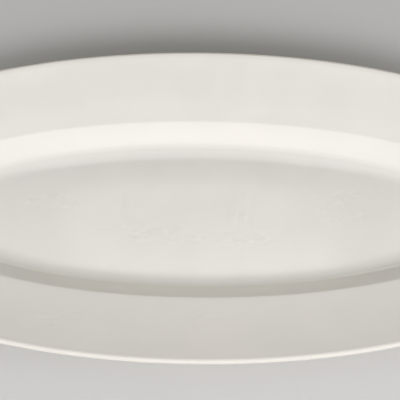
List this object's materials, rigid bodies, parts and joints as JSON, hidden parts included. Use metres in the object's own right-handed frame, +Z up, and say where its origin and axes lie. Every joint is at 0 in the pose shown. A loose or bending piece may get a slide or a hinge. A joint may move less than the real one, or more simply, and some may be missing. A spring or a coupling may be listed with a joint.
{
  "type": "serving platter",
  "caption": "Long oval china serving platter with a wide sloping rim, a shallow well, a rounded lip and an unglazed foot ring.",
  "frame": {"origin": "on the table surface, under the middle of the platter", "axes": "+X along the platter's length, +Y across its width, +Z up out of the well"},
  "size_m": [0.6, 0.26, 0.0341],
  "materials": {
    "biscuit": "bare fired china, fine dry matt surface, slightly warmer than the glazed faces",
    "glaze": "clear glaze over warm white china, smooth and glossy, with faint cutlery marks in the well"
  },
  "bodies": {
    "root": {"china_body": "biscuit", "glaze_face_and_rim": "glaze", "glaze_foot_recess": "glaze"}
  },
  "joints": []
}
